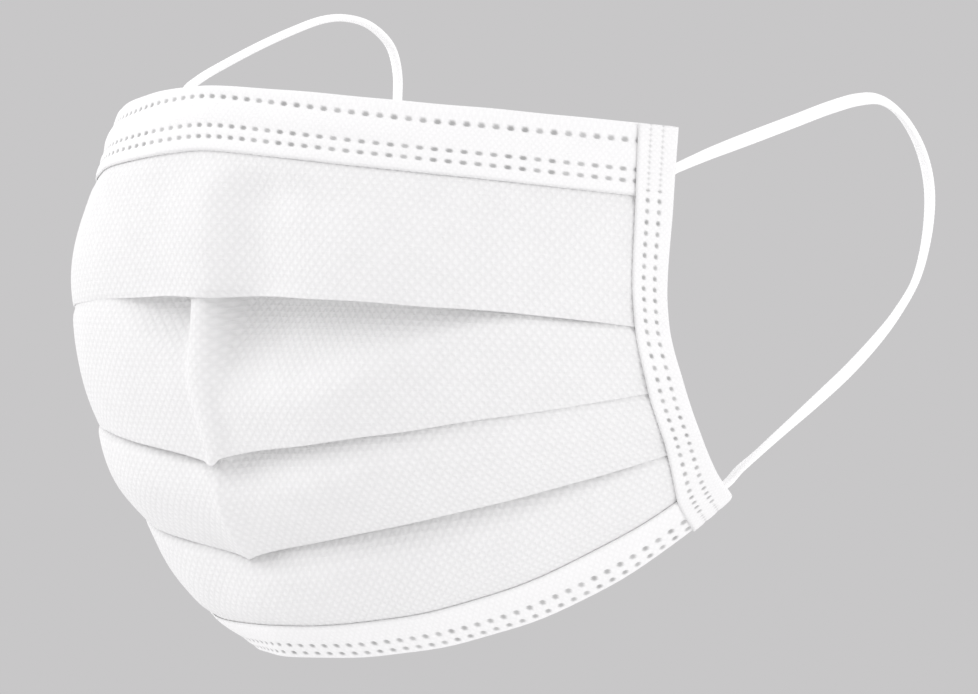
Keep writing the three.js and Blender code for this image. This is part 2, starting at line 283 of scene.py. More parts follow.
def panel_section(across):
    """The panel's folds at every station: rows of distance down the cloth, depth and tier."""
    runs = line_runs(across)
    along = across * PANEL_HALF
    held = np.abs(across) ** OVERLAP_SPREAD
    overlap = OVERLAP_MIDDLE + (OVERLAP_SIDE - OVERLAP_MIDDLE) * held
    level = np.zeros_like(across)
    rows = []

    def lay(run, depth, tier):
        rows.append((run, depth, level + tier))

    for share in np.linspace(0, 1, HEM_LEG_STEPS, endpoint=False):
        lay(HEM_EDGE + (runs[NOSE_HEM_LINE] - HEM_EDGE) * share, level - HEM_PLY, 0)
    top = runs[NOSE_HEM_LINE]
    hidden = level - HEM_PLY
    rise = HEM_RISE
    side_fade, middle_fade = GAP_FADES
    left_start, left_end = LEFT_GAP_ENDS
    right_start, right_end = RIGHT_GAP_ENDS
    left_gap = ease((across - left_start) / side_fade) * ease((left_end - across) / middle_fade)
    right_gap = ease((right_end - across) / side_fade) * ease((across - right_start) / middle_fade)
    for number, (line, (height, window, rise_open)) in enumerate(zip(PLEAT_LINES, PLEATS)):
        edge = runs[line] + waver(along, WAVER_SHIFT * number) * (1 - held)
        notch = ease(along / NOTCH_START) * np.exp(-np.maximum(along, 0) / NOTCH_LENGTH)
        edge = edge - PLEAT_NOTCHES[number] * notch
        root = edge - overlap
        starts, full, wanes, shut = window
        closing = ease((across - wanes) / (shut - wanes))
        opened = ease((across - starts) / (full - starts)) * (1 - closing)
        from_crease = along - crease_place(level + line)
        bridge = hump(from_crease / sided(from_crease, HOLD_WIDTHS), FLAT_TOP)
        bridged = PLEAT_HOLDS[number] * bridge
        gape_left, gape_right = PLEAT_GAPS[number]
        gape = height * opened * (1 - bridged) + gape_left * left_gap + gape_right * right_gap
        for share in np.linspace(0, 1, TIER_STEPS):
            fresh = ease(share / rise)
            lay(top + (edge - FOLD_RADIUS - top) * share, hidden * (1 - fresh), number)
        for turn in np.linspace(0, math.pi, FOLD_STEPS + 1)[1:]:
            run = edge - FOLD_RADIUS * (1 - math.sin(turn))
            lay(run, level - FOLD_RADIUS * (1 - math.cos(turn)), number)
        behind = level - 2 * FOLD_RADIUS
        for share in np.linspace(0, 1, LEG_STEPS + 1)[1:]:
            run = edge - FOLD_RADIUS + (root + 2 * FOLD_RADIUS - edge) * share
            lay(run, behind - gape * share, number + share)
        for turn in np.linspace(0, math.pi, FOLD_STEPS + 1)[1:]:
            run = root + FOLD_RADIUS * (1 - math.sin(turn))
            lay(run, behind - gape - FOLD_RADIUS * (1 - math.cos(turn)), number + 1)
        hidden = 2 * behind - gape
        for share in np.linspace(0, 1, LEG_STEPS, endpoint=False)[1:]:
            lay(root + FOLD_RADIUS + (overlap - FOLD_RADIUS) * share, hidden, number + 1)
        top = edge
        rise = RISE_SHUT + (rise_open - RISE_SHUT) * opened
    bottom = runs[CHIN_HEM_LINE]
    for share in np.linspace(0, 1, TIER_STEPS):
        fresh = ease(share / rise)
        tucked = ease((share - 1 + CHIN_RISE) / CHIN_RISE)
        lay(top + (bottom - top) * share, hidden * (1 - fresh) - HEM_PLY * tucked, LAST_TIER)
    for share in np.linspace(0, 1, HEM_LEG_STEPS + 1)[1:]:
        lay(bottom + (runs[LAST_LINE] - HEM_EDGE - bottom) * share, level - HEM_PLY, LAST_TIER)
    return (runs,) + tuple(np.stack(part) for part in zip(*rows))


def crease(along, tier, run, runs):
    """The centre crease, which dies out under both hems."""
    tiers = np.arange(LAST_TIER + 1)
    away = along / sided(along, SWELL_WIDTHS)
    swell = (1 - np.where(along > 0, SWELL_DIP * away**2, 0)) * hump(away)
    swell = swell - SWELL_SINK * hump(along / SWELL_HOLLOW)
    rib = hump(along / sided(along, RIB_WIDTHS), FLAT_TOP)
    fold = np.exp(-np.abs(along) / sided(along, FOLD_WIDTHS)) - hump(along / FOLD_HOLLOW)
    shapes = ((CREASE_SWELL, swell), (CREASE_RIB, rib), (CREASE_FOLD, fold))
    relief = sum(np.interp(tier, tiers, heights) * shape for heights, shape in shapes)
    nose, chin = runs[NOSE_HEM_LINE], runs[CHIN_HEM_LINE]
    return relief * ease((run - nose) / CREASE_FADE) * ease((chin - run) / CREASE_FADE)


def cloth_object(name, points, cloth, marks=None):
    """A mesh of a grid of points, with its flat coordinates in metres as the UV map cloth."""
    rows, columns = points.shape[:2]
    corner = np.arange(rows * columns).reshape(rows, columns)
    quads = np.stack([corner[:-1, :-1], corner[1:, :-1], corner[1:, 1:], corner[:-1, 1:]], -1)
    quads = quads.reshape(-1, 4)
    mesh = bpy.data.meshes.new(name)
    mesh.from_pydata(points.reshape(-1, 3).tolist(), [], quads.tolist())
    layer = mesh.uv_layers.new(name="cloth")
    layer.data.foreach_set("uv", cloth.reshape(-1, 2)[quads.ravel()].ravel())
    for mark, values in (marks or {}).items():
        attribute = mesh.attributes.new(mark, "FLOAT", "POINT")
        attribute.data.foreach_set("value", values.ravel())
    mesh.polygons.foreach_set("use_smooth", [True] * len(mesh.polygons))
    made = bpy.data.objects.new(name, mesh)
    bpy.context.collection.objects.link(made)
    return made


def give_thickness(piece, thickness):
    wall = piece.modifiers.new("thickness", "SOLIDIFY")
    wall.thickness = thickness
    wall.offset = 0
    wall.use_even_offset = True


def calc(tree, operation, *values):
    """A Math node of values or sockets, as the socket of its result."""
    node = tree.nodes.new("ShaderNodeMath")
    node.operation = operation
    for socket, value in zip(node.inputs, values):
        if isinstance(value, (int, float)):
            socket.default_value = value
        else:
            tree.links.new(value, socket)
    return node.outputs[0]


def ramp(tree, value, low, high, start=0.0, end=1.0):
    """A smooth step of a socket from start at low to end at high."""
    node = tree.nodes.new("ShaderNodeMapRange")
    node.interpolation_type = "SMOOTHSTEP"
    for name, number in (("From Min", low), ("From Max", high), ("To Min", start), ("To Max", end)):
        if isinstance(number, (int, float)):
            node.inputs[name].default_value = number
        else:
            tree.links.new(number, node.inputs[name])
    tree.links.new(value, node.inputs["Value"])
    return node.outputs[0]


def new_group(kind, name, inputs, outputs):
    """A node group with named sockets: the tree, its input sockets and its output sockets."""
    tree = bpy.data.node_groups.new(name, kind)
    for label, socket_type, value in inputs:
        socket = tree.interface.new_socket(label, in_out="INPUT", socket_type=socket_type)
        if value is not None:
            socket.default_value = value
    for label, socket_type in outputs:
        tree.interface.new_socket(label, in_out="OUTPUT", socket_type=socket_type)
    entry = tree.nodes.new("NodeGroupInput")
    leave = tree.nodes.new("NodeGroupOutput")
    return tree, entry.outputs, leave.inputs


def embossing_group():
    """Raised diamonds between pressed diagonal grooves, from a roller with two crossing threads."""
    tree, given, result = new_group(
        "ShaderNodeTree",
        "diamond_embossing",
        [
            ("Cloth", "NodeSocketVector", None),
            ("Repeat Across", "NodeSocketFloat", 0.002),
            ("Repeat Down", "NodeSocketFloat", 0.002),
            ("Groove", "NodeSocketFloat", 0.85),
        ],
        [("Pillow", "NodeSocketFloat")],
    )
    parts = tree.nodes.new("ShaderNodeSeparateXYZ")
    tree.links.new(given["Cloth"], parts.inputs[0])
    sideways = calc(tree, "DIVIDE", parts.outputs["X"], given["Repeat Across"])
    downward = calc(tree, "DIVIDE", parts.outputs["Y"], given["Repeat Down"])
    falling = calc(tree, "PINGPONG", calc(tree, "ADD", sideways, downward), 0.5)
    rising = calc(tree, "PINGPONG", calc(tree, "SUBTRACT", sideways, downward), 0.5)
    nearest = calc(tree, "MULTIPLY", calc(tree, "MINIMUM", falling, rising), 2)
    tree.links.new(ramp(tree, nearest, 0, given["Groove"]), result["Pillow"])
    return tree


FIBRE_TURNS = (0.6, -0.7, 1.4)
FIBRE_STRETCH, FIBRE_SPACING = 0.09, 0.35
CLOUD_DETAIL, FIBRE_DETAIL = 4, 2
CLOUD_EDGES, FIBRE_EDGES = (0.32, 0.68), (0.45, 0.78)


def fleece_group():
    """Uneven fleece: slow clouds of thicker and thinner web, and single fibres lying both ways."""
    tree, given, result = new_group(
        "ShaderNodeTree",
        "fleece_web",
        [
            ("Cloth", "NodeSocketVector", None),
            ("Cloud Size", "NodeSocketFloat", 0.006),
            ("Fibre Width", "NodeSocketFloat", 0.0001),
        ],
        [("Cloud", "NodeSocketFloat"), ("Fibre", "NodeSocketFloat")],
    )

    def noise(vector, scale, detail):
        node = tree.nodes.new("ShaderNodeTexNoise")
        node.inputs["Detail"].default_value = detail
        tree.links.new(vector, node.inputs["Vector"])
        tree.links.new(scale, node.inputs["Scale"])
        return node.outputs["Fac"]

    cloud = noise(given["Cloth"], calc(tree, "DIVIDE", 1, given["Cloud Size"]), CLOUD_DETAIL)
    strands = []
    for turn in FIBRE_TURNS:
        lie = tree.nodes.new("ShaderNodeMapping")
        lie.inputs["Rotation"].default_value = (0, 0, turn)
        lie.inputs["Scale"].default_value = (FIBRE_STRETCH, 1, 1)
        tree.links.new(given["Cloth"], lie.inputs["Vector"])
        fine = calc(tree, "DIVIDE", FIBRE_SPACING, given["Fibre Width"])
        strands.append(noise(lie.outputs[0], fine, FIBRE_DETAIL))
    web = calc(tree, "MAXIMUM", calc(tree, "MAXIMUM", strands[0], strands[1]), strands[2])
    tree.links.new(ramp(tree, cloud, *CLOUD_EDGES), result["Cloud"])
    tree.links.new(ramp(tree, web, *FIBRE_EDGES), result["Fibre"])
    return tree


diamond_embossing = embossing_group()
fleece_web = fleece_group()
BUMP_HEIGHT = 0.0001
PILLOW_SHARE, CLOUD_SHARE, FIBRE_SHARE = 0.6, 0.15, 0.25
CLOUD_DULLNESS = 0.08
SPECULAR = 0.25


def new_material(name):
    """A material with little gloss: itself, its tree and its shader."""
    material = bpy.data.materials.new(name)
    material.use_nodes = True
    shader = material.node_tree.nodes["Principled BSDF"]
    shader.inputs["Specular IOR Level"].default_value = SPECULAR
    return material, material.node_tree, shader


def mesh_value(tree, name):
    """The socket of a number stored on the mesh, for a shader."""
    node = tree.nodes.new("ShaderNodeAttribute")
    node.attribute_name = name
    return node.outputs["Fac"]


def grey(level):
    return (level, level, level, 1)


def mixed_grey(tree, share, levels):
    """A node that mixes two levels of grey by a socket's share of the second."""
    node = tree.nodes.new("ShaderNodeMix")
    node.data_type = "RGBA"
    node.inputs["A"].default_value, node.inputs["B"].default_value = map(grey, levels)
    tree.links.new(share, node.inputs["Factor"])
    return node


def fleece_material(name, levels, repeats, depths, roughness, weld=None):
    """White nonwoven: levels of grey go from thin web to thick, depths are of embossing and fibres.

    weld is the level of grey and the roughness of cloth that is melted by a weld.
    """
    material, tree, shader = new_material(name)
    flat = tree.nodes.new("ShaderNodeUVMap")
    flat.uv_map = "cloth"
    pressed = tree.nodes.new("ShaderNodeGroup")
    pressed.node_tree = diamond_embossing
    for socket, repeat in zip(("Repeat Across", "Repeat Down"), repeats):
        pressed.inputs[socket].default_value = repeat
    web = tree.nodes.new("ShaderNodeGroup")
    web.node_tree = fleece_web
    for group in (pressed, web):
        tree.links.new(flat.outputs[0], group.inputs["Cloth"])
    pillow, cloud, fibre = pressed.outputs["Pillow"], web.outputs["Cloud"], web.outputs["Fibre"]

    embossing_depth, fibre_depth = depths
    relief = calc(tree, "MULTIPLY", pillow, embossing_depth)
    relief = calc(tree, "MULTIPLY_ADD", fibre, fibre_depth, relief)
    bump = tree.nodes.new("ShaderNodeBump")
    bump.inputs["Distance"].default_value = BUMP_HEIGHT
    tree.links.new(relief, bump.inputs["Height"])
    tree.links.new(bump.outputs[0], shader.inputs["Normal"])

    thickness = calc(tree, "MULTIPLY", cloud, CLOUD_SHARE)
    thickness = calc(tree, "MULTIPLY_ADD", pillow, PILLOW_SHARE, thickness)
    thickness = calc(tree, "MULTIPLY_ADD", fibre, FIBRE_SHARE, thickness)
    colour = mixed_grey(tree, thickness, levels).outputs["Result"]
    dull = calc(tree, "MULTIPLY_ADD", cloud, CLOUD_DULLNESS, roughness)
    if weld:
        weld_level, weld_roughness = weld
        melted = mesh_value(tree, "weld")
        melt = mixed_grey(tree, melted, (weld_level, weld_level))
        tree.links.new(colour, melt.inputs["A"])
        colour = melt.outputs["Result"]
        dull = calc(tree, "MULTIPLY_ADD", melted, weld_roughness - roughness, dull)
    tree.links.new(colour, shader.inputs["Base Color"])
    tree.links.new(dull, shader.inputs["Roughness"])
    return material


share = np.linspace(-1, 1, PANEL_STATIONS)
stations = STACK_END * share * (MIDDLE_CROWDING + (1 - MIDDLE_CROWDING) * np.abs(share))
panel_along = stations * PANEL_HALF
runs, panel_run, panel_depth, panel_tier = panel_section(stations)
panel_lines = down_at(runs, panel_run)
relief = crease(panel_along - crease_place(panel_lines), panel_tier, panel_run, runs)
relief = relief + slack(stations, panel_run)
panel_points = surface(stations, panel_lines, panel_depth + relief)
row_steps = np.abs(np.diff(panel_run, axis=0))
panel_down = np.concatenate([np.zeros((1, PANEL_STATIONS)), np.cumsum(row_steps, axis=0)])
panel_flat = np.stack(np.broadcast_arrays(panel_along, -panel_down), -1)

panel = cloth_object("panel_fleece", panel_points, panel_flat)
give_thickness(panel, PANEL_THICKNESS)
panel.data.materials.append(
    fleece_material(
        "panel_nonwoven",
        levels=(0.72, 0.80),
        repeats=(0.0020, 0.0023),
        depths=(1.1, 0.3),
        roughness=0.86,
    )
)
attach(panel, "root")
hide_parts("pleated_panel")

# Nose hem: a strip of smooth, whiter nonwoven folded over the top edge and fixed through the panel
# by three rows of ultrasonic welds. The flat nose wire inside raises it a little in the middle.
# Welds have a level of grey and a roughness of their own. They differ in force from spot to spot.
# Each has a melted floor and a wide pucker, in half sizes, and where they stand close they are
# smaller and fainter.
WELD_LOOK = (0.35, 0.45)
WELD_DEPTH = 0.00028
WELD_ROW_INPUTS = ("First Row", "Second Row", "Third Row")
FORCE_RANGE = (0.7, 1.0)
MELT_EDGES, PUCKER_EDGES, PUCKER_SHARE = (1.35, 0.7), (3.4, 0.8), 0.4
CLOSE_SHRINK, CLOSE_FADE = 0.35, 0.5
STRIP_THICKNESS = 0.00028
HEM_BACK = -2 * HEM_PLY
NOSE_WELD_PITCH = 0.0028
NOSE_WELD_ROWS = (0.0020, 0.0076, 0.0098)
NOSE_WELD_SIZE = (0.0014, 0.00085)
# How a strip's points crowd round its welds, and the widest step between rows of them elsewhere.
COLUMNS_PER_WELD = 10
ROW_FANS = (-0.0009, -0.00056, -0.00028, 0.0, 0.00028, 0.00056, 0.0009)
WIDEST_ROW = 0.0010
CREST_STEPS = 8
# The strip puffs up between its rows of welds, fully where these are far apart, its front edge is
# pressed down, and the wire lifts it.
PUFF_HEIGHT, PUFF_FADE, PUFF_FULL_GAP = 0.00022, 8, 0.004
EDGE_DIP, EDGE_DIP_LENGTH = 0.00008, 0.0012
WIRE_HALF_LENGTH, WIRE_INSET, WIRE_HALF_WIDTH, WIRE_RISE = 0.048, 0.0045, 0.0020, 0.0002
WIRE_TAPER, WIRE_SHOULDER = 0.002, 1.5


def named_value(tree, name):
    """The socket of a number that each point of a mesh carries."""
    node = tree.nodes.new("GeometryNodeInputNamedAttribute")
    node.data_type = "FLOAT"
    node.inputs["Name"].default_value = name
    return node.outputs["Attribute"]


def push_and_finish(tree, mesh, raised, name, value, material, result):
    """Ends a tree: moves a mesh along its normals, keeps a value on it and gives it a material."""
    outward = tree.nodes.new("ShaderNodeVectorMath")
    outward.operation = "SCALE"
    store = tree.nodes.new("GeometryNodeStoreNamedAttribute")
    store.data_type, store.domain = "FLOAT", "POINT"
    store.inputs["Name"].default_value = name
    move = tree.nodes.new("GeometryNodeSetPosition")
    realize = tree.nodes.new("GeometryNodeRealizeInstances")
    finish = tree.nodes.new("GeometryNodeSetMaterial")
    tree.links.new(tree.nodes.new("GeometryNodeInputNormal").outputs[0], outward.inputs[0])
    tree.links.new(raised, outward.inputs["Scale"])
    tree.links.new(mesh, store.inputs["Geometry"])
    tree.links.new(value, store.inputs["Value"])
    tree.links.new(store.outputs[0], move.inputs["Geometry"])
    tree.links.new(outward.outputs[0], move.inputs["Offset"])
    tree.links.new(move.outputs[0], realize.inputs[0])
    tree.links.new(realize.outputs[0], finish.inputs["Geometry"])
    tree.links.new(material, finish.inputs["Material"])
    tree.links.new(finish.outputs[0], result)


def weld_press_tree():
    """Presses rows of welds into a strip and stores how hard each point is pressed as weld."""
    number = "NodeSocketFloat"
    sizes = ("Pitch", *WELD_ROW_INPUTS, "Length", "Width", "Depth")
    tree, given, result = new_group(
        "GeometryNodeTree",
        "weld_press",
        [
            ("Strip", "NodeSocketGeometry", None),
            *((label, number, None) for label in sizes),
            ("Dense Before", number, -1.0),
            ("Dense After", number, 1.0),
            ("Seed", "NodeSocketInt", 3),
            ("Material", "NodeSocketMaterial", None),
        ],
        [("Strip", "NodeSocketGeometry")],
    )

    along, inset = named_value(tree, "along"), named_value(tree, "inset")
    early = calc(tree, "LESS_THAN", along, given["Dense Before"])
    late = calc(tree, "GREATER_THAN", along, given["Dense After"])
    dense = calc(tree, "MAXIMUM", early, late)
    pitch = calc(tree, "DIVIDE", given["Pitch"], calc(tree, "ADD", dense, 1))
    spot = calc(tree, "ROUND", calc(tree, "DIVIDE", along, pitch))
    lengthways = calc(tree, "SUBTRACT", along, calc(tree, "MULTIPLY", spot, pitch))
    crossways = None
    for row in WELD_ROW_INPUTS:
        off = calc(tree, "ABSOLUTE", calc(tree, "SUBTRACT", inset, given[row]))
        crossways = off if crossways is None else calc(tree, "MINIMUM", crossways, off)
    smaller = calc(tree, "SUBTRACT", 1, calc(tree, "MULTIPLY", dense, CLOSE_SHRINK))
    half_length = calc(tree, "MULTIPLY", calc(tree, "MULTIPLY", given["Length"], 0.5), smaller)
    half_width = calc(tree, "MULTIPLY", calc(tree, "MULTIPLY", given["Width"], 0.5), smaller)
    first = calc(tree, "POWER", calc(tree, "DIVIDE", lengthways, half_length), 2)
    second = calc(tree, "POWER", calc(tree, "DIVIDE", crossways, half_width), 2)
    away = calc(tree, "SQRT", calc(tree, "ADD", first, second))

    luck = tree.nodes.new("FunctionNodeRandomValue")
    luck.data_type = "FLOAT"
    usable = {socket.name: socket for socket in luck.inputs if socket.enabled}
    usable["Min"].default_value, usable["Max"].default_value = FORCE_RANGE
    tree.links.new(spot, luck.inputs["ID"])
    tree.links.new(given["Seed"], luck.inputs["Seed"])
    lucky = next(socket for socket in luck.outputs if socket.enabled)
    fainter = calc(tree, "SUBTRACT", 1, calc(tree, "MULTIPLY", dense, CLOSE_FADE))
    force = calc(tree, "MULTIPLY", lucky, fainter)
    pressed = calc(tree, "MULTIPLY", ramp(tree, away, *MELT_EDGES), force)
    pucker = calc(tree, "MULTIPLY", ramp(tree, away, *PUCKER_EDGES, 0.0, PUCKER_SHARE), force)
    sunk = calc(tree, "MULTIPLY", calc(tree, "MAXIMUM", pressed, pucker), given["Depth"])

    raised = calc(tree, "MULTIPLY", sunk, -1)
    push_and_finish(tree, given["Strip"], raised, "weld", pressed, given["Material"], result["Strip"])
    return tree


def run_tree(piece, tree, **values):
    """Runs a node tree on a piece with its inputs set by name, and keeps the mesh that it makes."""
    modifier = piece.modifiers.new(tree.name, "NODES")
    modifier.node_group = tree
    for socket in tree.interface.items_tree:
        label = socket.name.replace(" ", "_").lower()
        if socket.in_out == "INPUT" and label in values:
            modifier[socket.identifier] = values[label]
    shaped = piece.evaluated_get(bpy.context.evaluated_depsgraph_get())
    mesh = bpy.data.meshes.new_from_object(shaped)
    piece.modifiers.remove(modifier)
    piece.data = mesh


weld_press = weld_press_tree()


def strip_insets(width, weld_rows, start):
    """Distances from a strip's crest at which it has a row of points: close by welds, wide between."""
    wanted = [row + fan for row in weld_rows for fan in ROW_FANS]
    wanted = sorted([start] + [inset for inset in wanted if inset < width - WIDEST_ROW / 2])
    insets = []
    for near, far in zip(wanted, wanted[1:] + [width]):
        steps = max(1, math.ceil((far - near) / WIDEST_ROW))
        insets += list(np.linspace(near, far, steps, endpoint=False))
    return np.array(insets + [width])


def strip_section(insets, front, back):
    """A folded strip from its back edge over the crest to its front edge: inset, depth and face."""
    radius = (front - back) / 2
    bend = insets[0]
    turns = np.linspace(math.pi, 0, CREST_STEPS + 1)[1:-1]
    reach = np.concatenate([insets[::-1], bend * (1 - np.sin(turns)), insets])
    depth = np.concatenate(
        [
            np.full(len(insets), back),
            back + radius * (1 + np.cos(turns)),
            np.full(len(insets), front),
        ]
    )
    face = (depth - back) / (front - back) * 2 - 1
    return reach, depth, face


def weld_columns(half_length, pitch):
    """Places along a hem, with the same few columns to every weld."""
    step = pitch / COLUMNS_PER_WELD
    count = int(STACK_END * half_length / step)
    return np.arange(-count, count + 1) * step


def puffed(inset, weld_rows, width):
    """How full the cloth stands between two rows of welds, from 0 at a row to 1 midway."""
    stops = np.array([0.0, *weld_rows, width])
    row = np.clip(np.searchsorted(stops, inset, side="right") - 1, 0, len(stops) - 2)
    gap = stops[row + 1] - stops[row]
    swell = np.sin(math.pi * np.clip((inset - stops[row]) / gap, 0, 1))
    return swell * np.minimum(gap / PUFF_FULL_GAP, 1)


def edge_dip(inset, width, face):
    """How far a strip's front edge is pressed down on to the panel."""
    return EDGE_DIP * ease((inset - width + EDGE_DIP_LENGTH) / EDGE_DIP_LENGTH) * (face > 0)


def hem_out(across, run, section, weld_rows, width, raised=0):
    """How far out each point of a hem lies, puffed between its welds and over what raises it."""
    inset, depth, face = (part[:, None] for part in section)
    puff = PUFF_HEIGHT * puffed(inset, weld_rows, width) * face * (1 - np.abs(across) ** PUFF_FADE)
    return depth + puff + raised + slack(across, run) - edge_dip(inset, width, face)


def welded_strip(name, points, flat, along, inset, weld_rows, weld_size, **press):
    """A strip with rows of welds pressed into it. Its flat coordinates are a pair of arrays."""
    grid = points.shape[:2]
    marks = {"along": np.broadcast_to(along, grid), "inset": np.broadcast_to(inset, grid)}
    strip = cloth_object(name, points, np.stack(np.broadcast_arrays(*flat), -1), marks)
    rows = dict(zip(("first_row", "second_row", "third_row"), (*weld_rows, weld_rows[-1])))
    length, width = weld_size
    run_tree(strip, weld_press, **rows, length=length, width=width, depth=WELD_DEPTH, **press)
    give_thickness(strip, STRIP_THICKNESS)
    return strip


hem_material = fleece_material(
    "hem_nonwoven",
    levels=(0.785, 0.835),
    repeats=(0.0013, 0.0015),
    depths=(0.25, 0.3),
    roughness=0.78,
    weld=WELD_LOOK,
)
nose_half = (HALF_LENGTHS[0] + HALF_LENGTHS[NOSE_HEM_LINE]) / 2
nose_along = weld_columns(nose_half, NOSE_WELD_PITCH)
nose_across = nose_along / nose_half
nose_runs = line_runs(nose_across)
nose_width = nose_runs[NOSE_HEM_LINE].min()
nose_insets = strip_insets(nose_width, NOSE_WELD_ROWS, HEM_PLY)
nose_section = strip_section(nose_insets, 0.0, HEM_BACK)
nose_inset, _, nose_face = nose_section
below_crest = ease(nose_inset / NOSE_WELD_ROWS[0])
nose_run = nose_inset[:, None] + below_crest[:, None] * (nose_runs[NOSE_HEM_LINE] - nose_width)
wire = ease((WIRE_HALF_LENGTH - np.abs(nose_along)) / WIRE_TAPER)
wire = wire * ease(WIRE_SHOULDER - np.abs(nose_inset - WIRE_INSET)[:, None] / WIRE_HALF_WIDTH)
nose_out = hem_out(nose_across, nose_run, nose_section, NOSE_WELD_ROWS, nose_width, WIRE_RISE * wire)
nose_hem = welded_strip(
    "nose_hem_strip",
    surface(nose_across, down_at(nose_runs, nose_run), nose_out),
    flat=(nose_along, (nose_inset * nose_face)[:, None]),
    along=nose_along,
    inset=nose_inset[:, None],
    weld_rows=NOSE_WELD_ROWS,
    weld_size=NOSE_WELD_SIZE,
    pitch=NOSE_WELD_PITCH,
    seed=3,
    material=hem_material,
)
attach(nose_hem, "root")
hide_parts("nose_hem")

# Chin hem: a second folded strip of the same nonwoven, along the bottom edge under the chin,
# fixed by two rows of round welds.
CHIN_WELD_PITCH = 0.00254
CHIN_WELD_ROWS = (0.0013, 0.0032)
CHIN_WELD_SIZE = (0.0011, 0.0008)
chin_half = (HALF_LENGTHS[CHIN_HEM_LINE] + HALF_LENGTHS[LAST_LINE]) / 2
chin_along = weld_columns(chin_half, CHIN_WELD_PITCH)
chin_across = chin_along / chin_half
chin_runs = line_runs(chin_across)
chin_widths = chin_runs[LAST_LINE] - chin_runs[CHIN_HEM_LINE]
chin_width = chin_widths.min()
chin_insets = strip_insets(chin_width, CHIN_WELD_ROWS, HEM_PLY)
chin_section = [part[::-1] for part in strip_section(chin_insets, 0.0, HEM_BACK)]
chin_inset, _, chin_face = chin_section
widening = ease(chin_inset / chin_width)
chin_reach = chin_inset[:, None] + widening[:, None] * (chin_widths - chin_width)
chin_run = chin_runs[LAST_LINE] - chin_reach
chin_out = hem_out(chin_across, chin_run, chin_section, CHIN_WELD_ROWS, chin_width)
chin_hem = welded_strip(
    "chin_hem_strip",
    surface(chin_across, down_at(chin_runs, chin_run), chin_out),
    flat=(chin_along, (chin_inset * chin_face)[:, None]),
    along=chin_along,
    inset=chin_inset[:, None],
    weld_rows=CHIN_WELD_ROWS,
    weld_size=CHIN_WELD_SIZE,
    pitch=CHIN_WELD_PITCH,
    seed=5,
    material=hem_material,
)
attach(chin_hem, "root")
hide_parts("chin_hem")

# Side tapes: a nonwoven binding tape folded round the pleated edge on each side, holding the
# pleats shut and fixed by two rows of round welds, closer and fainter over the hems.
TAPE_WIDTH = 0.0082
TAPE_FRONT, TAPE_BACK = 0.00042, -0.00125
TAPE_WELD_PITCH = 0.0021
TAPE_WELD_ROWS = (0.0032, 0.0057)
TAPE_WELD_SIZE = (0.00092, 0.00092)
TAPE_CLOSE_END = 0.004
TAPE_STEP = 0.00026
TAPE_CREST = 0.0010
PLEAT_RISE, PLEAT_RISE_LENGTH = 0.00022, 0.0030
tape_material = fleece_material(
    "binding_tape",
    levels=(0.78, 0.83),
    repeats=(0.0012, 0.0012),
    depths=(0.2, 0.35),
    roughness=0.76,
    weld=WELD_LOOK,
)
tape_insets = strip_insets(TAPE_WIDTH, TAPE_WELD_ROWS, TAPE_CREST)
tape_inset, tape_depth, tape_face = strip_section(tape_insets, TAPE_FRONT, TAPE_BACK)
side_runs = line_runs(np.array([1.0]))
tape_length = side_runs[LAST_LINE][0]
tape_run = np.linspace(0, tape_length, int(tape_length / TAPE_STEP))[:, None]
tape_down = down_at(side_runs, tape_run)
tape_half = np.interp(tape_down, np.arange(LAST_LINE + 1), HALF_LENGTHS)
over_pleats = sum(
    hump((tape_run - side_runs[line][0] + OVERLAP_SIDE / 2) / PLEAT_RISE_LENGTH)
    for line in PLEAT_LINES
)
for name, side in (("right", 1), ("left", -1)):
    order = slice(None, None, -side)
    inset, depth, face = tape_inset[order], tape_depth[order], tape_face[order]
    out = depth + PLEAT_RISE * over_pleats * face
    tape = welded_strip(
        f"side_tape_{name}",
        surface(side * (1 - inset / tape_half), tape_down, out),
        flat=(inset * face, -tape_run),
        along=tape_run,
        inset=inset,
        weld_rows=TAPE_WELD_ROWS,
        weld_size=TAPE_WELD_SIZE,
        pitch=TAPE_WELD_PITCH,
        dense_before=nose_width,
        dense_after=tape_length - TAPE_CLOSE_END,
        seed=7,
        material=tape_material,
    )
    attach(tape, "root")
    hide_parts(f"side_binding_{name}")

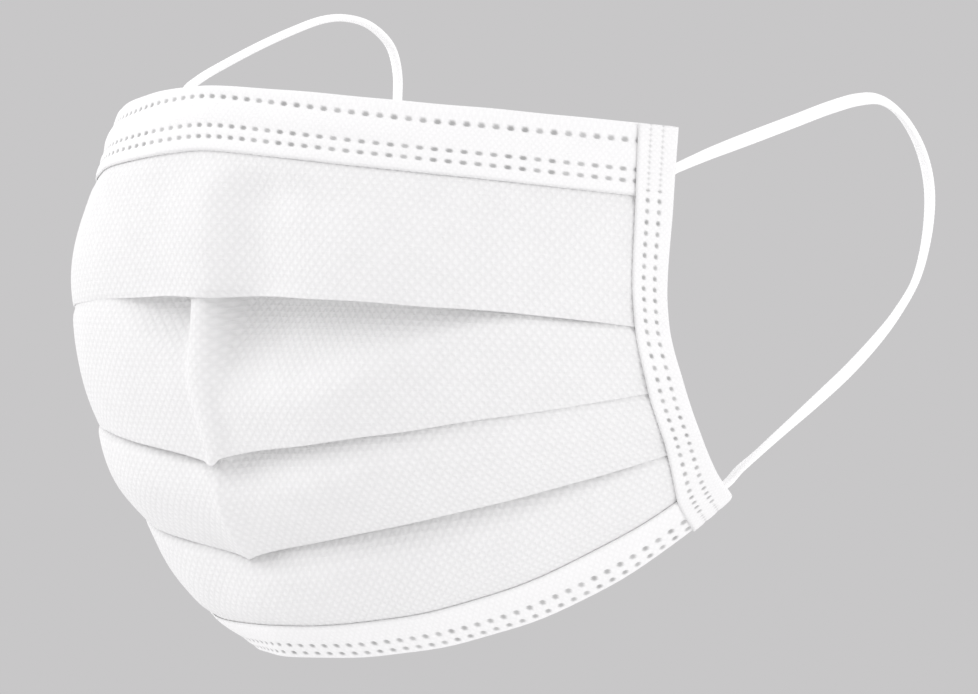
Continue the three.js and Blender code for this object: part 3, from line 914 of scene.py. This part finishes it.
# Ear loops: soft white elastic, knitted round and a little flattened, with each end pressed flat
# and welded to the back of a side tape. They keep the bow that they take behind an ear.
LOOP_WIDTH, LOOP_THICKNESS, LOOP_TURN = 0.0026, 0.0016, 1.5
TAB_WIDTH, TAB_THICKNESS, TAB_LENGTH = 0.0034, 0.0011, 0.0048
LOOP_ROUTES = {
    "right": [
        (0.0643, -0.0179, 0.0327),
        (0.0658, -0.0127, 0.0332),
        (0.0691, -0.0072, 0.0352),
        (0.0702, 0.0005, 0.0378),
        (0.0714, 0.0109, 0.0410),
        (0.0720, 0.0220, 0.0442),
        (0.0720, 0.0326, 0.0471),
        (0.0720, 0.0412, 0.0489),
        (0.0720, 0.0480, 0.0490),
        (0.0720, 0.0542, 0.0462),
        (0.0720, 0.0594, 0.0410),
        (0.0720, 0.0624, 0.0350),
        (0.0720, 0.0633, 0.0286),
        (0.0720, 0.0621, 0.0208),
        (0.0720, 0.0590, 0.0132),
        (0.0716, 0.0542, 0.0071),
        (0.0710, 0.0488, 0.0018),
        (0.0700, 0.0410, -0.0046),
        (0.0686, 0.0328, -0.0106),
        (0.0664, 0.0233, -0.0176),
        (0.0634, 0.0186, -0.0224),
        (0.0600, 0.0164, -0.0256),
        (0.0574, 0.0138, -0.0268),
        (0.0561, 0.0104, -0.0280),
        (0.0555, 0.0064, -0.0294),
    ],
    "left": [
        (-0.0652, -0.0165, 0.0269),
        (-0.0654, -0.0150, 0.0326),
        (-0.0682, -0.0138, 0.0389),
        (-0.0692, -0.0121, 0.0466),
        (-0.0699, -0.0094, 0.0526),
        (-0.0705, -0.0048, 0.0556),
        (-0.0716, 0.0032, 0.0589),
        (-0.0720, 0.0144, 0.0634),
        (-0.0720, 0.0244, 0.0670),
        (-0.0720, 0.0326, 0.0694),
        (-0.0720, 0.0398, 0.0700),
        (-0.0720, 0.0469, 0.0686),
        (-0.0720, 0.0528, 0.0646),
        (-0.0720, 0.0551, 0.0590),
        (-0.0720, 0.0552, 0.0526),
        (-0.0718, 0.0542, 0.0436),
        (-0.0714, 0.0514, 0.0336),
        (-0.0708, 0.0472, 0.0234),
        (-0.0698, 0.0420, 0.0134),
        (-0.0684, 0.0358, 0.0036),
        (-0.0668, 0.0288, -0.0058),
        (-0.0648, 0.0212, -0.0142),
        (-0.0618, 0.0146, -0.0208),
        (-0.0586, 0.0080, -0.0242),
        (-0.0580, 0.0004, -0.0259),
    ],
}
# How often each loop turns its wide side outwards. The left one shows its narrow side all along.
LOOP_TWISTS = {"right": 2, "left": 0}
LOOP_SIDES = 48
LOOP_STEP = 0.00016
SPLINE_STEPS = 40
# How far both ends are drawn up against the tape, and over which stretch that dies out.
TAB_SEAT, TAB_SEAT_START, TAB_SEAT_END = 0.0041, 0.003, 0.015
KNIT_WALES, KNIT_COURSE, KNIT_HEIGHT = 8.0, 0.0009, 0.00004
KNIT_EDGES = (0.1, 0.9)
# The elastic's grey between its stitches, darkened there by painted shade, and on them; then its
# roughness in the same two places.
ELASTIC_GAP_SHADE_LEVELS, ELASTIC_ROUGHNESS = (0.86, 0.90), (0.9, 0.75)


def smooth_route(route):
    """A curve through the route's points, as points an even step apart."""
    route = np.array(route)
    ends = [2 * route[0] - route[1], *route, 2 * route[-1] - route[-2]]
    share = np.linspace(0, 1, SPLINE_STEPS, endpoint=False)[:, None]
    dense = []
    for before, here, after, beyond in zip(ends, ends[1:], ends[2:], ends[3:]):
        leaving, arriving = (after - before) / 2, (beyond - here) / 2
        dense.append(
            here
            + leaving * share
            + (3 * (after - here) - 2 * leaving - arriving) * share**2
            + (2 * (here - after) + leaving + arriving) * share**3
        )
    dense = np.concatenate(dense + [route[-1:]])
    reach = np.concatenate([[0], np.cumsum(np.linalg.norm(np.diff(dense, axis=0), axis=1))])
    even = np.linspace(0, reach[-1], int(reach[-1] / LOOP_STEP))
    return even, np.stack([np.interp(even, reach, dense[:, axis]) for axis in range(3)], -1)


def loop_object(name, route, twists):
    """A flattened cord that twists along its route, its ends drawn up against the back of a tape."""
    reach, path = smooth_route(route)
    side = math.copysign(1, path[0][0])
    for row, from_end in ((NOSE_HEM_LINE, reach), (LAST_LINE, reach[-1] - reach)):
        seated = 1 - ease((from_end - TAB_SEAT_START) / (TAB_SEAT_END - TAB_SEAT_START))
        path = path + TAB_SEAT * seated[:, None] * line_normals(row, np.array(side))
    heading = unit(np.gradient(path, axis=0))
    in_plane = unit(np.cross(heading, np.array([side, 0, 0])))
    outward = np.cross(in_plane, heading)
    tab = 1 - ease((np.minimum(reach, reach[-1] - reach) - TAB_LENGTH) / TAB_LENGTH)
    turn = LOOP_TURN * np.cos(twists * math.pi * reach / reach[-1]) ** 2 * (1 - tab)
    width = LOOP_WIDTH + (TAB_WIDTH - LOOP_WIDTH) * tab
    thickness = LOOP_THICKNESS + (TAB_THICKNESS - LOOP_THICKNESS) * tab
    around = np.linspace(1, 0, LOOP_SIDES + 1)
    wide = width[:, None] / 2 * np.cos(2 * math.pi * around)
    thick = thickness[:, None] / 2 * np.sin(2 * math.pi * around)
    first = np.cos(turn)[:, None] * in_plane + np.sin(turn)[:, None] * outward
    second = np.cross(heading, first)
    points = path[:, None] + wide[..., None] * first[:, None] + thick[..., None] * second[:, None]
    flat = np.stack(np.broadcast_arrays(around, reach[:, None]), -1)
    marks = {"around": flat[..., 0], "along": flat[..., 1]}
    return cloth_object(name, points, flat, marks), path


def knit_relief_tree():
    """Raises the slanting stitches of a round knit on a cord, and stores their height as stitch."""
    number = "NodeSocketFloat"
    tree, given, result = new_group(
        "GeometryNodeTree",
        "knit_relief",
        [
            ("Cord", "NodeSocketGeometry", None),
            *((label, number, None) for label in ("Wales", "Course", "Height")),
            ("Material", "NodeSocketMaterial", None),
        ],
        [("Cord", "NodeSocketGeometry")],
    )
    around, along = named_value(tree, "around"), named_value(tree, "along")
    rib = calc(tree, "PINGPONG", calc(tree, "MULTIPLY", around, given["Wales"]), 0.5)
    slant = calc(tree, "ADD", calc(tree, "DIVIDE", along, given["Course"]), rib)
    loop = calc(tree, "PINGPONG", slant, 0.5)
    stitch = ramp(tree, calc(tree, "ADD", rib, loop), *KNIT_EDGES)
    raised = calc(tree, "MULTIPLY", calc(tree, "SUBTRACT", stitch, 0.5), given["Height"])
    push_and_finish(tree, given["Cord"], raised, "stitch", stitch, given["Material"], result["Cord"])
    return tree


def elastic_material():
    """White elastic yarn, duller between its stitches, with painted shade there that makes it a little
    darker.
    """
    material, tree, shader = new_material("ear_elastic")
    stitch = mesh_value(tree, "stitch")
    # Painted shade: the yarn is a little darker between the stitches, where they shade each other.
    colour = mixed_grey(tree, stitch, ELASTIC_GAP_SHADE_LEVELS).outputs["Result"]
    tree.links.new(colour, shader.inputs["Base Color"])
    dull = ramp(tree, stitch, 0, 1, *ELASTIC_ROUGHNESS)
    tree.links.new(dull, shader.inputs["Roughness"])
    return material


knit_relief = knit_relief_tree()
ear_elastic = elastic_material()
knit = dict(wales=KNIT_WALES, course=KNIT_COURSE, height=KNIT_HEIGHT, material=ear_elastic)
for name, route in LOOP_ROUTES.items():
    loop, path = loop_object(f"ear_cord_{name}", route, LOOP_TWISTS[name])
    run_tree(loop, knit_relief, **knit)
    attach(loop, "root")
    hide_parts(f"ear_loop_{name}")

# Studio: a pale floor that melts into the plain grey surroundings, three soft boxes and a long lens.
# The surroundings cast more light than the eye sees in them, which leaves hardly any shadow.
SURROUNDINGS = (0.577, 0.571, 0.577, 1)
SURROUNDINGS_GLOW = 1.94
FLOOR_LEVEL, FLOOR_RADIUS, FLOOR_SIDES, FLOOR_ROUGHNESS = -0.13, 6.0, 96, 0.9
FLOOR_CLEAR, FLOOR_LOST = 0.08, 0.30
FLOOR_SEEN, FLOOR_CAST = 0.56, 0.90
VIEW_AZIMUTH, VIEW_ELEVATION = math.radians(44.3), math.radians(0.5)
VIEW_TARGET = np.array([0.0293, -0.0200, -0.0001])
VIEW_DISTANCE = 1.1
PIXELS_PER_METRE = 5100
IMAGE_WIDTH = 978
SENSOR_WIDTH = 36.0


def plain_to_the_eye(tree, eye, cast):
    """One value where the camera looks, and another for the light that is cast."""
    rays = tree.nodes.new("ShaderNodeLightPath")
    return calc(tree, "MULTIPLY_ADD", rays.outputs["Is Camera Ray"], eye - cast, cast)


world = bpy.data.worlds.new("surroundings")
world.use_nodes = True
sky = world.node_tree.nodes["Background"]
sky.inputs["Color"].default_value = SURROUNDINGS
glow_strength = plain_to_the_eye(world.node_tree, 1.0, SURROUNDINGS_GLOW)
world.node_tree.links.new(glow_strength, sky.inputs["Strength"])
bpy.context.scene.world = world
bpy.context.scene.view_settings.view_transform = "Standard"

floor_mesh = bpy.data.meshes.new("floor")
ring = np.linspace(0, 2 * math.pi, FLOOR_SIDES, endpoint=False)
level = np.full_like(ring, FLOOR_LEVEL)
rim = np.stack([FLOOR_RADIUS * np.cos(ring), FLOOR_RADIUS * np.sin(ring), level], -1)
floor_mesh.from_pydata(rim.tolist(), [], [list(range(FLOOR_SIDES))])
floor = bpy.data.objects.new("floor", floor_mesh)
bpy.context.collection.objects.link(floor)
floor_finish = bpy.data.materials.new("floor_paper")
floor_finish.use_nodes = True
paper = floor_finish.node_tree
place = paper.nodes.new("ShaderNodeTexCoord")
middle = paper.nodes.new("ShaderNodeVectorMath")
middle.operation = "LENGTH"
paper.links.new(place.outputs["Object"], middle.inputs[0])
glow = paper.nodes.new("ShaderNodeEmission")
glow.inputs["Color"].default_value = SURROUNDINGS
paper.links.new(plain_to_the_eye(paper, 1.0, SURROUNDINGS_GLOW), glow.inputs["Strength"])
blend = paper.nodes.new("ShaderNodeMixShader")
matte = paper.nodes["Principled BSDF"]
paper.links.new(plain_to_the_eye(paper, FLOOR_SEEN, FLOOR_CAST), matte.inputs["Base Color"])
matte.inputs["Roughness"].default_value = FLOOR_ROUGHNESS
paper.links.new(ramp(paper, middle.outputs["Value"], FLOOR_CLEAR, FLOOR_LOST), blend.inputs[0])
paper.links.new(matte.outputs[0], blend.inputs[1])
paper.links.new(glow.outputs[0], blend.inputs[2])
paper.links.new(blend.outputs[0], paper.nodes["Material Output"].inputs["Surface"])
floor_mesh.materials.append(floor_finish)


def direction(azimuth, elevation):
    """From the mask towards a place round it. Azimuth 0 is straight in front of the wearer."""
    flat = math.cos(elevation)
    return np.array([math.sin(azimuth) * flat, -math.cos(azimuth) * flat, math.sin(elevation)])


def soft_box(name, azimuth, elevation, distance, size, watts):
    """A round area light that faces the mask, out of the camera's sight."""
    light = bpy.data.lights.new(name, "AREA")
    light.shape = "DISK"
    light.size = size
    light.energy = watts
    box = bpy.data.objects.new(name, light)
    way = direction(math.radians(azimuth), math.radians(elevation))
    box.location = way * distance
    box.rotation_euler = Vector(-way).to_track_quat("-Z", "Y").to_euler()
    box.visible_camera = False
    bpy.context.collection.objects.link(box)


soft_box("key_light", azimuth=-50, elevation=30, distance=1.0, size=0.7, watts=2.6)
soft_box("fill_light", azimuth=100, elevation=2, distance=1.1, size=0.5, watts=1.8)
soft_box("top_light", azimuth=40, elevation=80, distance=1.0, size=0.8, watts=0.2)

lens = bpy.data.cameras.new("camera")
lens.sensor_width = SENSOR_WIDTH
lens.lens = SENSOR_WIDTH * PIXELS_PER_METRE * VIEW_DISTANCE / IMAGE_WIDTH
camera = bpy.data.objects.new("camera", lens)
back = direction(VIEW_AZIMUTH, VIEW_ELEVATION)
camera.location = VIEW_TARGET + back * VIEW_DISTANCE
camera.rotation_euler = Vector(-back).to_track_quat("-Z", "Y").to_euler()
bpy.context.collection.objects.link(camera)
bpy.context.scene.camera = camera
